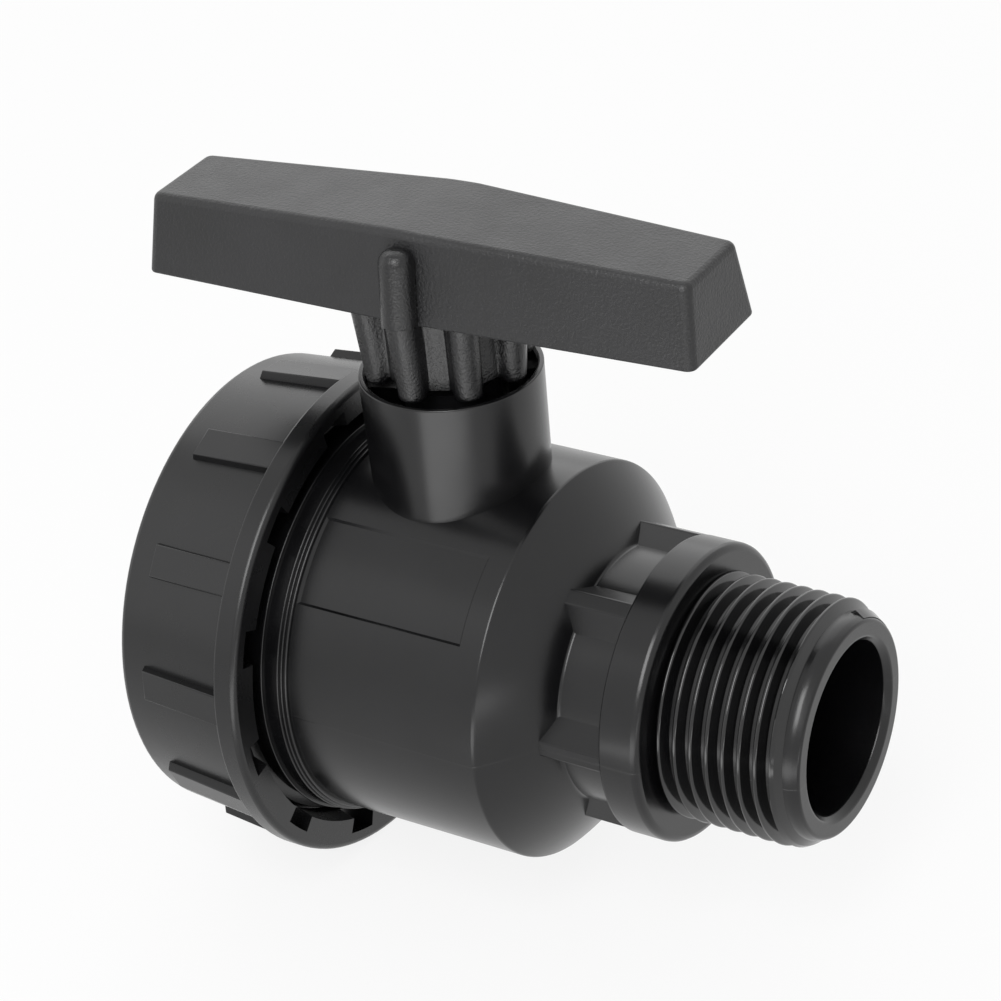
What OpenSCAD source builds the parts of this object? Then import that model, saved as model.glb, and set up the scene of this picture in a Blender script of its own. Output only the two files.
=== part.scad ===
// Single-union ball valve with one-inch pipe threads, in moulded plastic.
// +X runs along the flow towards the outer-threaded end, +Z runs up the stem,
// and the origin is the centre of the ball. All lengths are in millimetres.

/* [Ball] */
// Radius of the ball
ball_r = 18.5; // [17.5:0.1:18.8]
// Radius of the flow passage through ball and body
passage_r = 11.6; // [9:0.1:12]
// Gap between the ball and its seats
ball_gap = 0.05; // [0.02:0.01:0.1]
// Depth of the drive slot below the top of the ball
slot_depth = 5.2; // [4:0.1:5.8]

/* [Seats] */
// Thickness of a seat ring along the flow
seat_len = 6; // [4.5:0.1:6.5]
// Outer radius of a seat ring
seat_r = 17.4; // [17:0.1:17.8]
// Bore radius of a seat ring
seat_bore_r = 12.1; // [12:0.05:12.6]
// Distance from the ball centre to the back of a seat
seat_back = 16.2; // [15.8:0.1:16.6]
// Gap around parts that are pushed into a pocket
pocket_gap = 0.1; // [0.05:0.01:0.2]

/* [Seal rings] */
// Cord diameter of the rings behind the seats
seat_cord = 1.7; // [1.4:0.1:2]
// Cord diameter of the rings on the stem
stem_cord = 1.8; // [1.4:0.1:2]
// Cord diameter of the ring on the seat carrier
carrier_cord = 1.6; // [1.4:0.1:1.8]
// Cord diameter of the ring in the union face
union_cord = 2.2; // [1.8:0.1:2.4]
// Gap between a ring and the walls of its groove
ring_gap = 0.05; // [0.02:0.01:0.1]

/* [Body] */
// Outer radius of the body barrel
barrel_r = 27.5; // [26:0.1:29]
// Where the barrel ends and the rounded shoulder begins
shoulder_x = 16.1; // [14:0.1:20]
// Where the shoulder meets the neck
dome_end_x = 23; // [22:0.1:26]
// Radius of the bulge of the shoulder
dome_bulge_r = 43; // [30:1:80]
// Radius of the ball chamber
chamber_r = 19.4; // [19.1:0.1:20.4]
// Radius of the neck between shoulder and flange
neck_r = 17.6; // [16:0.1:18.5]
// Number of wedge ribs around the neck
neck_ribs = 6; // [4:1:8]
// Width of a neck rib at its outer face
neck_rib_top = 2.8; // [1.5:0.1:4]
// Width of a neck rib at its root
neck_rib_root = 8.3; // [4:0.1:9]
// How far the neck ribs stay inside the rim of the flange
neck_rib_step = 0.15; // [0.1:0.05:1]
// Back face of the outlet flange
flange_x = 30.5; // [28:0.1:34]
// Thickness of the outlet flange
flange_len = 5.7; // [3:0.1:8]
// Radius of the outlet flange
flange_r = 20.3; // [18.5:0.1:24]
// Radius of the rounded front edge of the flange
flange_edge = 1; // [0.4:0.1:1.5]
// Radius of the smooth collar beside the union thread
collar_r = 28.6; // [28.4:0.1:28.6]
// Right edge of that collar
collar_x = -14; // [-15:0.1:-12]
// Width of that collar
collar_len = 2.6; // [2:0.1:3]
// Radius of the fine step between collar and barrel
step_r = 27.95; // [27.6:0.05:28.1]
// Width of the fine step
step_len = 1.2; // [0.6:0.1:2]

/* [Label pad] */
// Length of the bare recessed pad on the barrel
pad_len = 25.6; // [16:0.1:27]
// Lower edge of the pad, in degrees from the side towards the top
pad_low = 33.4; // [25:0.1:40]
// Upper edge of the pad, in degrees from the side towards the top
pad_high = 59; // [50:0.1:60]
// Depth of the pad
pad_depth = 0.35; // [0.1:0.05:0.8]

/* [Stem tower] */
// Outer radius of the tower
tower_r = 12.25; // [12:0.05:13]
// Height of the tower rim above the flow axis
tower_top = 41.85; // [39:0.05:42.5]
// Radius of the open cup in the top of the tower
cup_r = 11.2; // [10.8:0.1:11.4]
// Depth of the open cup
cup_depth = 6.85; // [5:0.05:8]
// Width of a stop block in the cup, in degrees
stop_block = 12; // [8:1:30]
// Width of the stop lug on the stem, in degrees
stop_lug = 20; // [12:1:30]
// Middle of the lug's sweep, in degrees from the outlet
stop_middle = 125; // [100:5:180]
// How far the stops lie below the tower rim
stop_drop = 4; // [2:0.1:5]
// Play between lug and block, in degrees
stop_play = 1.5; // [0.5:0.1:3]
// Quarter turn from straight to closed, in degrees
quarter_turn = 90; // [80:1:100]
// How far the lever stands past straight at its open stop, in degrees
open_lead = 1.8; // [0:0.1:3]

/* [Stem] */
// Radius of the stem shaft
stem_r = 6.5; // [6:0.1:7]
// Running clearance of the stem in the tower
stem_gap = 0.05; // [0.02:0.01:0.1]
// Radius of the collar that keeps the stem in
stem_collar_r = 9.2; // [8.6:0.1:9.8]
// Underside of the stem collar above the flow axis
stem_collar_z = 19.2; // [18.9:0.1:19.6]
// Thickness of the stem collar
stem_collar_h = 2.7; // [2:0.1:3]
// Thickness of the slip washer above the collar
washer_h = 1; // [0.6:0.1:1.4]
// Thickness of the drive blade
blade_w = 6; // [4:0.1:7]
// Width of the drive blade
blade_len = 13; // [9:0.1:15]
// Distance of the upper groove centre below the floor of the cup
groove_drop = 3.8; // [2.5:0.1:5]
// Spacing of the two grooves
groove_step = 4.2; // [3.6:0.1:5]
// Width across the square drive end
square_w = 8.6; // [7:0.1:9]
// Height of the square drive end inside the bar
square_reach = 4.3; // [3:0.1:6]

/* [Handle] */
// Length of the bar along its underside
bar_len = 81.2; // [70:0.1:100]
// Difference in length between underside and top
bar_draft = 2; // [0.5:0.1:4]
// Width of the underside at the middle
bar_mid_w = 19.4; // [18:0.1:22]
// Width of the underside at the ends
bar_end_w = 17.3; // [14:0.1:19]
// Width of the top at the middle
bar_top_mid_w = 16.7; // [14:0.1:18]
// Width of the top at the ends
bar_top_end_w = 13.3; // [11:0.1:16]
// Height of the hub between the tower and the bar
hub_len = 10.6; // [8:0.1:14]
// Height of the bar at its ends
bar_end_h = 10.8; // [8:0.1:14]
// Rise of the roof from the ends to the middle
bar_rise = 1.5; // [0.5:0.1:3]
// Rounding of the upright corners
bar_corner = 2.2; // [1:0.1:3]
// Rounding of the top edges
bar_edge = 1; // [0.4:0.1:1.4]
// Wall of the hollow bar
bar_wall = 2.2; // [1.6:0.1:3]
// Distance of the first inner cross wall from the middle
web_first = 13.5; // [11:0.5:16]
// Spacing of the inner cross walls
web_step = 9; // [7:0.5:12]
// Thickness of the inner cross walls
web_wall = 1.6; // [1:0.1:2.5]
// Radius of the hub core
hub_r = 8.8; // [8:0.1:9.2]
// Number of flutes round the hub
hub_lobes = 8; // [6:2:10]
// Height of the core's underside above the feet of the flutes
core_rise = 0.8; // [0.3:0.1:2]
// Radius of a flute at its foot
lobe_r = 2; // [1.4:0.05:2.1]
// Radius of a flute at the bar
lobe_top_r = 2.15; // [1.8:0.05:2.2]
// Distance of a flute's foot from the stem axis
lobe_pcd_r = 9.25; // [9:0.05:9.4]
// Distance of a flute's axis from the stem axis at the bar
lobe_top_pcd_r = 10.1; // [9.5:0.05:10.15]
// Gap between the underside of the hub and the tower rim
hub_gap = 0.25; // [0.2:0.05:0.6]
// Radius of a grip rib on the side of the bar
grip_rib_r = 2.35; // [2:0.05:2.5]
// Distance of a grip rib's axis outside the side of the bar
grip_rib_out = 0.9; // [0.4:0.1:1.2]
// How far the grip ribs stop below the roof of the bar
grip_rib_drop = 1.8; // [1:0.1:4]

/* [Pipe threads] */
// Outer radius of the one-inch pipe thread
pipe_major_r = 16.624; // [13.22:0.001:18.95]
// Pitch of the pipe thread
pipe_pitch = 2.309; // [1.814:0.001:2.309]
// Depth of the pipe thread
pipe_depth = 1.479; // [1.162:0.001:1.479]
// Width of a crest
pipe_crest = 0.385; // [0.3:0.005:0.4]
// Crests on the outer thread
outlet_crests = 8; // [5:1:9]
// Crests in the inner thread
inlet_crests = 6; // [4:1:6]
// Length of the tip beyond the last crest
tip_len = 2.95; // [2:0.05:4]
// Outer radius of the tip at its end face
tip_r = 14.5; // [13.5:0.1:15]

/* [Union] */
// End face of the body where the union seals
face_x = -30.5; // [-32:0.1:-29.5]
// Radius of the body under the union thread
union_root_r = 28.2; // [28:0.1:28.3]
// Height of the union thread ridges
union_ridge = 1.4; // [1:0.1:1.5]
// Pitch of the union thread
union_pitch = 4; // [3.6:0.1:5]
// Turns of the ridge on the body
body_turns = 2.6; // [1.5:0.1:2.8]
// Turns of the ridge in the nut
nut_turns = 2.3; // [1.5:0.1:2.6]
// Clearance between the two ridges
union_gap = 0.45; // [0.35:0.05:0.6]
// Straight steps to one turn of the ridges
ridge_steps = 32; // [24:4:48]

/* [Seat carrier] */
// Bore of the body that takes the seat carrier
carrier_bore_r = 22.9; // [22.5:0.1:23.4]
// Height of the carrier thread
carrier_ridge = 0.8; // [0.5:0.1:1]
// Pitch of the carrier thread
carrier_pitch = 2; // [1.5:0.1:2.5]
// Crests on the carrier thread
carrier_crests = 3; // [2:1:3]
// Shoulder in the body that stops the carrier
carrier_stop_x = -15.5; // [-16:0.1:-15]
// Length of the carrier behind that shoulder
carrier_len = 9.4; // [9:0.1:9.6]
// Length of the carrier's nose inside the ball chamber
carrier_nose = 2; // [1:0.1:2.5]
// Width of a key slot in the carrier's face
key_slot_w = 4; // [3:0.1:5]
// Depth of a key slot
key_slot_depth = 3; // [2:0.1:4]

/* [End connector] */
// Thickness of the connector's clamped flange
conn_flange = 3.6; // [3:0.1:4.5]
// Radius of the clamped flange
conn_flange_r = 28.1; // [27:0.1:28.2]
// Outer radius of the connector
conn_r = 21; // [19.5:0.1:21.4]
// How far the connector stands out of the nut
conn_out = 5.4; // [3:0.1:6]
// Radius of the connector's nose inside the body
conn_nose_r = 19.6; // [18.5:0.1:21]
// Gap between that nose and the seat carrier
nose_gap = 0.7; // [0.3:0.1:1.5]
// Wall left at the bottom of the inner thread
conn_stop = 1.6; // [1:0.1:2.5]

/* [Union nut] */
// Thickness of the nut's end wall
nut_wall = 3; // [2:0.1:4]
// Outer radius of the nut at its closed end
nut_end_r = 32.35; // [32:0.05:34]
// Outer radius of the nut where it meets its rim
nut_mid_r = 33.7; // [33:0.05:34.5]
// Outer radius of the rim
nut_rim_r = 35; // [34.2:0.1:37]
// Width of the rim
nut_rim = 3.5; // [2:0.1:6]
// Length of the nut
nut_len = 21.1; // [20:0.1:22]
// Inner radius of the nut
nut_bore_r = 30.1; // [30:0.05:30.4]
// Inner radius of the nut's mouth
nut_mouth_r = 30.8; // [30.4:0.1:31.4]
// Number of grip ribs and of mouth notches
nut_ribs = 12; // [8:1:16]
// Angle of the first rib above the side, in degrees
nut_rib_phase = 5.5; // [0:0.5:30]
// Width of a rib on its crown
nut_rib_top = 4.2; // [2.5:0.1:6]
// Width of a rib at its root
nut_rib_root = 5.8; // [3:0.1:8]
// Distance of a rib's end from the nut's closed end
nut_rib_start = 4; // [2:0.1:8]
// Width of a notch in the mouth
notch_w = 4.9; // [2:0.1:7]
// Depth of a notch along the nut
notch_len = 2.6; // [1:0.1:3.2]
// Outer radius of a notch
notch_r = 33; // [32:0.1:33.5]

/* [Hidden] */

round_fn = 96;
small_fn = 32;
eps = 0.01;
plastic = "#2b2b2d";

// Pipe threads
pipe_root_r = pipe_major_r - pipe_depth;
pipe_flank = (pipe_pitch - 2 * pipe_crest) / 2;
flange_end = flange_x + flange_len;
crest_first = flange_end + pipe_crest / 2 + pipe_flank;
crest_last = crest_first + (outlet_crests - 1) * pipe_pitch;
tip_x = crest_last + tip_len;
mouth_round = 0.8;

// Shoulder arc through the end of the barrel and the start of the neck
dome_chord = [dome_end_x - shoulder_x, neck_r - barrel_r];
dome_half = norm(dome_chord) / 2;
dome_normal = [dome_chord[1], -dome_chord[0]] / norm(dome_chord);
dome_centre = [shoulder_x, barrel_r] + dome_chord / 2
    + dome_normal * sqrt(dome_bulge_r * dome_bulge_r - dome_half * dome_half);

// Grooves of the seal rings
seat_groove = seat_cord + 2 * ring_gap;
seat_ring_r = (seat_bore_r + seat_r) / 2;
union_groove = union_cord + 2 * ring_gap;
union_ring_r = (carrier_bore_r + union_root_r) / 2;
carrier_groove = carrier_cord + 2 * ring_gap;
stem_groove = stem_cord + 2 * ring_gap;
stem_ring_r = stem_r - stem_cord / 2 + stem_gap - ring_gap;

// Tower and stem
cup_floor = tower_top - cup_depth;
groove_z = cup_floor - groove_drop - groove_step;
slot_floor = ball_r - slot_depth;
collar_top = stem_collar_z + stem_collar_h;
pocket_top = collar_top + washer_h + 0.1;
hub_z = tower_top + hub_gap;
lug_z = cup_floor + 0.6;
lug_top = tower_top - stop_drop;
lug_reach = cup_r - 0.5;
lug_angle = stop_middle + quarter_turn / 2;

// Handle
bar_z = hub_z + hub_len;
square_top = bar_z + square_reach;
bar_top_len = bar_len - bar_draft;
bar_end_z = bar_z + bar_end_h;
bar_mid_z = bar_end_z + bar_rise;
lobe_nose = 0.6;
socket_w = square_w + 2 * pocket_gap;
grip_rib_top = bar_mid_z - grip_rib_drop;

// Union
nut_x = face_x - conn_flange - 0.2 - nut_wall;
nut_mouth_x = nut_x + nut_len;
rim_x = nut_mouth_x - nut_rim;
body_ridge_top = union_root_r + union_ridge;
nut_ridge_tip = nut_bore_r - union_ridge;
ridge_root_w = (union_pitch - 2 * union_gap) / 2 + 0.2;
ridge_tip_w = ridge_root_w - 0.8;
body_ridge_x = collar_x - collar_len - ridge_root_w / 2 - 0.9;
nut_ridge_x = body_ridge_x - union_pitch / 2;
conn_x = nut_x - conn_out;
conn_end = carrier_stop_x - carrier_len - nose_gap;
conn_bore_x = conn_end - conn_stop;
inlet_first = conn_x + 1.6;

// Seat carrier
carrier_flank = 0.35;
carrier_crest = 0.3;
carrier_r = carrier_bore_r - carrier_ridge - pocket_gap;
carrier_x = carrier_stop_x - carrier_len;
carrier_seal_r = carrier_r + pocket_gap;
carrier_ring_r = carrier_seal_r - ring_gap - carrier_cord / 2;
carrier_ring_x = carrier_stop_x - 0.7 - carrier_groove / 2;
carrier_thread_x = carrier_ring_x - carrier_groove / 2 - 2.1;

// Spins a profile, drawn as [radius, distance along the flow], about the flow axis
module about_flow() {
    rotate([0, 90, 0]) rotate_extrude($fn = round_fn) children();
}

// Ring of rectangular section about the flow axis
module flow_ring(x0, x1, r0, r1) {
    about_flow() translate([r0, x0]) square([r1 - r0, x1 - x0]);
}

// Solid disc about the flow axis
module flow_disc(x0, x1, r) {
    translate([x0, 0, 0]) rotate([0, 90, 0]) cylinder(h = x1 - x0, r = r, $fn = round_fn);
}

// Seal ring of round cord about the flow axis
module cord_ring(x, r, cord) {
    about_flow() translate([r, x]) circle(d = cord, $fn = small_fn);
}

// Wedge of the full circle, used to cut sectors about the stem axis
module sector(z0, z1, r, middle, width) {
    translate([0, 0, z0]) linear_extrude(z1 - z0)
        polygon([[0, 0], for (a = [-1, -0.5, 0, 0.5, 1])
            2 * r * [cos(middle + a * width / 2), sin(middle + a * width / 2)]]);
}

// Outline points of thread crests between two radii, along the flow
function thread_line(first, count, pitch, root, tip, flank, crest) = [
    for (i = [0 : count - 1], p = [[-1, 0], [-1, 1], [1, 1], [1, 0]])
        [p[1] == 1 ? tip : root, first + i * pitch + p[0] * (crest / 2 + (1 - p[1]) * flank)]
];

// Section of a helical ridge at one angle, as four corners
function ridge_section(x, a, root, tip, root_w, tip_w) = [
    for (c = [[root, -root_w], [tip, -tip_w], [tip, tip_w], [root, root_w]])
        [x + c[1] / 2, c[0] * cos(a), c[0] * sin(a)]
];

// Helical ridge about the flow axis, which fades in and out over its ends
module ridge(x, turns, root, tip, root_w, tip_w) {
    steps = round(turns * ridge_steps);
    inward = tip < root;
    corners = [for (i = [0 : steps])
        let (a = -i * 360 / ridge_steps, fade = min(1, 0.12 + i / 5, 0.12 + (steps - i) / 5))
        each ridge_section(x + a / 360 * union_pitch, a, root, root + (tip - root) * fade,
                           root_w, tip_w)];
    sides = [for (i = [0 : steps - 1], k = [0 : 3])
        let (p = 4 * i + k, q = 4 * i + (k + 1) % 4)
        each [[p, q, q + 4], [p, q + 4, p + 4]]];
    ends = [[3, 2, 1, 0], [for (k = [0 : 3]) 4 * steps + k]];
    faces = concat(sides, ends);
    polyhedron(corners, inward ? faces : [for (f = faces) [for (k = [len(f) - 1 : -1 : 0]) f[k]]]);
}

// Half profile of the barrel and its shoulder, which is bounded by an arc
module barrel_profile() {
    intersection() {
        translate([0, collar_x]) square([barrel_r, dome_end_x + 0.5 - collar_x]);
        translate([dome_centre[1], dome_centre[0]]) circle(r = dome_bulge_r, $fn = 180);
    }
}

// Half profile of the flange, with its rounded front edge
module flange_profile() {
    translate([0, flange_x]) square([flange_r - flange_edge, flange_len]);
    translate([0, flange_x]) square([flange_r, flange_len - flange_edge]);
    translate([flange_r - flange_edge, flange_end - flange_edge])
        circle(r = flange_edge, $fn = small_fn);
}

// Outer form of the body before its ribs and tower
module body_outside() {
    flow_disc(face_x, collar_x, union_root_r);
    flow_disc(collar_x - collar_len, collar_x, collar_r);
    flow_disc(collar_x - eps, collar_x + step_len, step_r);
    about_flow() barrel_profile();
    flow_disc(dome_end_x - 1, flange_x + 1, neck_r);
    about_flow() flange_profile();
    about_flow() polygon(concat(
        [[0, flange_end - eps], [pipe_root_r, flange_end - eps]],
        thread_line(crest_first, outlet_crests, pipe_pitch, pipe_root_r, pipe_major_r,
                    pipe_flank, pipe_crest),
        [[tip_r + 0.9, tip_x - 1], [tip_r + 0.4, tip_x - 0.3], [tip_r, tip_x], [0, tip_x]]));
    ridge(body_ridge_x, body_turns, union_root_r - 0.5, body_ridge_top, ridge_root_w, ridge_tip_w);
}

// Bar along the flow whose section narrows from a root to a crown, standing along +Y
module wedge(x, len, foot_r, root_r, crown_r, root_w, crown_w) {
    translate([x, 0, 0]) rotate([90, 0, 90]) linear_extrude(len) polygon([
        [foot_r, -root_w / 2], [root_r, -root_w / 2], [crown_r, -crown_w / 2],
        [crown_r, crown_w / 2], [root_r, root_w / 2], [foot_r, root_w / 2]]);
}

// Wedge rib of the neck
module neck_rib() {
    rib_r = flange_r - neck_rib_step;
    intersection() {
        wedge(shoulder_x + 1, flange_x - shoulder_x - 0.9, passage_r + 1, neck_r - 0.6, rib_r + 0.2,
              neck_rib_root, neck_rib_top);
        flow_disc(shoulder_x, flange_x + 0.1, rib_r);
    }
}

// Everything that is hollow inside the body along the flow
module body_inside() {
    flow_disc(0, tip_x + 1, passage_r);
    about_flow() polygon([[0, tip_x + eps], [passage_r + mouth_round, tip_x + eps],
                          [passage_r + mouth_round / 3, tip_x - mouth_round / 3],
                          [passage_r, tip_x - mouth_round], [0, tip_x - mouth_round]]);
    flow_disc(carrier_stop_x, ball_r / 2, chamber_r);
    flow_disc(0, seat_back + 0.05, seat_r + pocket_gap);
    flow_ring(seat_back, seat_back + 0.05 + seat_groove, seat_ring_r - seat_groove / 2,
              seat_ring_r + seat_groove / 2);
    flow_disc(carrier_thread_x + 1.1, carrier_stop_x, carrier_seal_r);
    about_flow() polygon(concat(
        [[0, face_x - 1], [carrier_bore_r, face_x - 1]],
        thread_line(carrier_thread_x - (carrier_crests - 1) * carrier_pitch, carrier_crests,
                    carrier_pitch, carrier_bore_r, carrier_bore_r - carrier_ridge,
                    carrier_flank, carrier_crest),
        [[carrier_bore_r, carrier_thread_x + 1.2], [0, carrier_thread_x + 1.2]]));
    flow_ring(face_x - 1, face_x + union_groove, union_ring_r - union_groove / 2,
              union_ring_r + union_groove / 2);
}

// Stop blocks in the cup, either side of the sweep of the lug
module stop_blocks() {
    reach = (quarter_turn + open_lead + stop_lug + stop_block) / 2 + stop_play;
    for (side = [-1, 1]) intersection() {
        translate([0, 0, cup_floor - 0.5]) difference() {
            cylinder(h = lug_top - cup_floor + 0.5, r = cup_r + 0.3, $fn = round_fn);
            translate([0, 0, -1]) cylinder(h = tower_top, r = stem_r + 1.4, $fn = round_fn);
        }
        sector(cup_floor - 1, tower_top, tower_r, stop_middle + open_lead / 2 + side * reach, stop_block);
    }
}

module valve_body() {
    color(plastic) {
        difference() {
            union() {
                body_outside();
                for (i = [0 : neck_ribs - 1]) rotate([i * 360 / neck_ribs, 0, 0]) neck_rib();
                cylinder(h = tower_top, r = tower_r, $fn = round_fn);
            }
            body_inside();
            translate([0, 0, cup_floor]) cylinder(h = tower_top, r = cup_r, $fn = round_fn);
            translate([0, 0, tower_top - 0.5])
                cylinder(h = 0.51, r1 = cup_r, r2 = cup_r + 0.5, $fn = round_fn);
            cylinder(h = tower_top, r = stem_r + stem_gap, $fn = round_fn);
            cylinder(h = pocket_top, r = stem_collar_r + 0.3, $fn = round_fn);
            pad_recess();
        }
        stop_blocks();
    }
}

// Shallow bare recess on the barrel
module pad_recess() {
    reach = 2 * barrel_r;
    intersection() {
        flow_ring(-pad_len / 2, pad_len / 2, barrel_r - pad_depth, barrel_r + 2);
        translate([-pad_len / 2, 0, 0]) rotate([90, 0, 90]) linear_extrude(pad_len)
            polygon([[0, 0], for (a = [pad_low : (pad_high - pad_low) / 4 : pad_high + eps])
                reach * [-cos(a), sin(a)]]);
    }
}

// One of the stacked outlines of the bar, as six upright posts
module bar_posts(len, end_w, mid_w, corner, z0, end_h, mid_h) {
    for (sx = [-1, 1], sy = [-1, 1])
        translate([sx * (len / 2 - corner), sy * (end_w / 2 - corner), z0])
            cylinder(h = end_h, r = corner, $fn = small_fn);
    for (sy = [-1, 1])
        translate([0, sy * (mid_w / 2 - corner), z0]) cylinder(h = mid_h, r = corner, $fn = small_fn);
}

// Solid outer form of the bar, with its roof ridge across the middle
module bar_form() {
    skirt = 0.4;
    hull() {
        bar_posts(bar_len, bar_end_w, bar_mid_w, bar_corner, bar_z, skirt, skirt);
        bar_posts(bar_top_len + 0.3, bar_top_end_w + 0.4, bar_top_mid_w + 0.3, bar_corner,
                  bar_z + skirt, bar_end_h - bar_edge - skirt, bar_end_h + bar_rise - bar_edge - skirt);
        bar_posts(bar_top_len - 2 * bar_edge * 0.6, bar_top_end_w - 2 * bar_edge * 0.6,
                  bar_top_mid_w - 2 * bar_edge * 0.6, bar_corner, bar_z + skirt,
                  bar_end_h - skirt, bar_end_h + bar_rise - skirt);
    }
}

// Hollow under the bar, as deep as its wall allows
module bar_hollow() {
    inner = 1;
    both = 2 * bar_wall;
    hull() {
        bar_posts(bar_len - both, bar_end_w - both, bar_mid_w - both, inner, bar_z - 1, 1, 1);
        bar_posts(bar_top_len - both - 0.6, bar_top_end_w - both, bar_top_mid_w - both, inner,
                  bar_z, bar_end_h - bar_wall, bar_end_h + bar_rise - bar_wall);
    }
}

// Fluted hub below the bar, whose flutes widen and lean outwards towards it
module hub_outside() {
    hub_h = bar_z - hub_z;
    lean = atan2(lobe_top_pcd_r - lobe_pcd_r, hub_h);
    translate([0, 0, hub_z + core_rise])
        cylinder(h = hub_h - core_rise + bar_end_h - bar_wall, r = hub_r, $fn = round_fn);
    for (i = [0 : hub_lobes - 1])
        rotate([0, 0, i * 360 / hub_lobes]) translate([lobe_pcd_r, 0, hub_z]) rotate([0, lean, 0]) {
            cylinder(h = lobe_nose, r1 = lobe_r - 0.5, r2 = lobe_r, $fn = small_fn);
            translate([0, 0, lobe_nose])
                cylinder(h = hub_h - lobe_nose + 0.4, r1 = lobe_r, r2 = lobe_top_r, $fn = small_fn);
        }
}

// Rounded grip rib that carries a flute up the side of the bar, along the side's slope
module grip_rib(side) {
    rise = grip_rib_top - grip_rib_r - bar_z;
    slope = (bar_mid_w - bar_top_mid_w) / 2 / (bar_mid_z - bar_z);
    rib_len = rise * norm([1, slope]);
    translate([0, side * (bar_mid_w / 2 + grip_rib_out), bar_z])
        rotate([side * atan(slope), 0, 0]) rotate_extrude($fn = small_fn) {
            square([grip_rib_r, rib_len]);
            intersection() {
                translate([0, rib_len]) circle(r = grip_rib_r, $fn = small_fn);
                translate([0, rib_len - eps]) square(2 * grip_rib_r);
            }
        }
}

module handle() {
    color(plastic) rotate([0, 0, open_lead]) difference() {
        union() {
            difference() {
                bar_form();
                bar_hollow();
            }
            for (sx = [-1, 1], web = [web_first : web_step : bar_top_len / 2 - 6])
                translate([sx * web - web_wall / 2, -bar_top_end_w / 2 + 1, bar_z + 2])
                    cube([web_wall, bar_top_end_w - 2, bar_end_h - 3.5]);
            hub_outside();
            for (side = [-1, 1]) grip_rib(side);
        }
        translate([-socket_w / 2, -socket_w / 2, hub_z - 1])
            cube([socket_w, socket_w, square_top - hub_z + 1.3]);
    }
}

module stem() {
    color("#3c3c40") rotate([0, 0, open_lead]) {
        difference() {
            translate([0, 0, stem_collar_z]) {
                cylinder(h = stem_collar_h, r = stem_collar_r, $fn = round_fn);
                cylinder(h = tower_top - 1 - stem_collar_z, r = stem_r, $fn = round_fn);
            }
            for (i = [0, 1]) translate([0, 0, groove_z + i * groove_step - stem_groove / 2])
                rotate_extrude($fn = round_fn)
                    translate([stem_r + stem_gap - stem_groove, 0]) square([stem_groove + 1, stem_groove]);
        }
        translate([-blade_w / 2, -blade_len / 2, slot_floor + 0.3])
            cube([blade_w, blade_len, stem_collar_z - slot_floor + 0.2]);
        translate([-square_w / 2, -square_w / 2, tower_top - 1.5])
            cube([square_w, square_w, square_top - tower_top + 1.5]);
        intersection() {
            translate([0, 0, lug_z]) cylinder(h = lug_top - lug_z, r = lug_reach, $fn = round_fn);
            sector(cup_floor, tower_top, tower_r, lug_angle, stop_lug);
        }
    }
}

module stem_washer() {
    color("#e9e7e0") translate([0, 0, collar_top + 0.05]) difference() {
        cylinder(h = washer_h, r = stem_collar_r, $fn = round_fn);
        translate([0, 0, -1]) cylinder(h = washer_h + 2, r = stem_r + pocket_gap, $fn = round_fn);
    }
}

// Seal ring in one of the two grooves of the stem
module stem_ring(i) {
    color("#151515") translate([0, 0, groove_z + i * groove_step]) rotate_extrude($fn = round_fn)
        translate([stem_ring_r, 0]) circle(d = stem_cord, $fn = small_fn);
}
module stem_ring_lower() { stem_ring(0); }
module stem_ring_upper() { stem_ring(1); }

module ball() {
    color("#4a4a4e") rotate([0, 0, open_lead]) difference() {
        sphere(r = ball_r, $fn = round_fn);
        flow_disc(-ball_r - 1, ball_r + 1, passage_r);
        translate([-blade_w / 2 - pocket_gap, -ball_r, slot_floor])
            cube([blade_w + 2 * pocket_gap, 2 * ball_r, slot_depth + 1]);
    }
}

// Seat ring with its hollow face against the ball, on the +X side
module seat() {
    difference() {
        flow_ring(seat_back - seat_len, seat_back, seat_bore_r, seat_r);
        sphere(r = ball_r + ball_gap, $fn = round_fn);
    }
}
module outlet_seat() { color("#f0efea") seat(); }
module inlet_seat() { color("#f0efea") mirror([1, 0, 0]) seat(); }

module outlet_seat_ring() {
    color("#151515") cord_ring(seat_back + 0.05 + seat_groove / 2, seat_ring_r, seat_cord);
}
module inlet_seat_ring() {
    color("#151515") cord_ring(-seat_back - 0.05 - seat_groove / 2, seat_ring_r, seat_cord);
}

module seat_carrier() {
    color("#333336") difference() {
        union() {
            flow_disc(carrier_x, carrier_stop_x - 0.05, carrier_r);
            flow_disc(carrier_x + 1, carrier_stop_x + carrier_nose, chamber_r - 0.2);
            about_flow() polygon(concat(
                [[0, carrier_x], [carrier_r - 0.1, carrier_x]],
                thread_line(carrier_thread_x - (carrier_crests - 1.5) * carrier_pitch, carrier_crests - 1,
                            carrier_pitch, carrier_r - 0.1, carrier_bore_r - pocket_gap,
                            carrier_flank, carrier_crest),
                [[0, carrier_thread_x]]));
        }
        flow_disc(carrier_x - 1, 0, seat_bore_r);
        flow_disc(-seat_back - 0.05, 0, seat_r + pocket_gap);
        flow_ring(-seat_back - 0.05 - seat_groove, -seat_back, seat_ring_r - seat_groove / 2,
                  seat_ring_r + seat_groove / 2);
        flow_ring(carrier_ring_x - carrier_groove / 2, carrier_ring_x + carrier_groove / 2,
                  carrier_seal_r - carrier_groove, carrier_bore_r + 1);
        for (side = [-1, 1]) translate([carrier_x - 1, side * 17 - key_slot_w / 2, -key_slot_w / 2])
            cube([key_slot_depth + 1, key_slot_w, key_slot_w]);
    }
}

module carrier_ring() {
    color("#151515") cord_ring(carrier_ring_x, carrier_ring_r, carrier_cord);
}

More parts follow.
